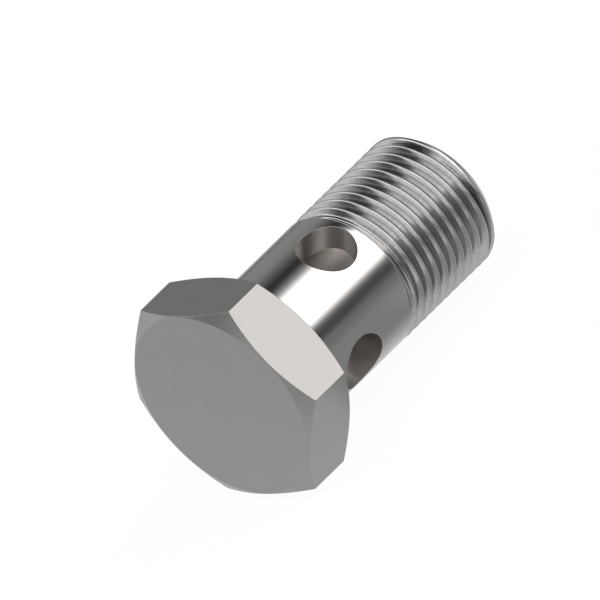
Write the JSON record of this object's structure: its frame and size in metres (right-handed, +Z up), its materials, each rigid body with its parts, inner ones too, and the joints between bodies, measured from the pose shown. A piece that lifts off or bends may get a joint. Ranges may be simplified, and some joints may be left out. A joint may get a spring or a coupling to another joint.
{
  "type": "banjo bolt",
  "caption": "Hexagon-headed hollow bolt with a threaded end, a blind axial bore and crossing drillings that carry fluid from a ring fitting.",
  "frame": {"origin": "on the table, under the middle of the bolt as it lies on one flat of its head and on the rim of its threaded end", "axes": "+X from the head to the threaded end, along the table; +Z up. The bolt's own axis lies in the XZ plane and dips 5.63 degrees below +X towards the threaded end"},
  "size_m": [0.0422, 0.0278, 0.0246],
  "materials": {
    "bright_steel": "bright machined steel, turned shank and faced head"
  },
  "bodies": {
    "root": {"banjo_bolt": "bright_steel"}
  },
  "joints": []
}
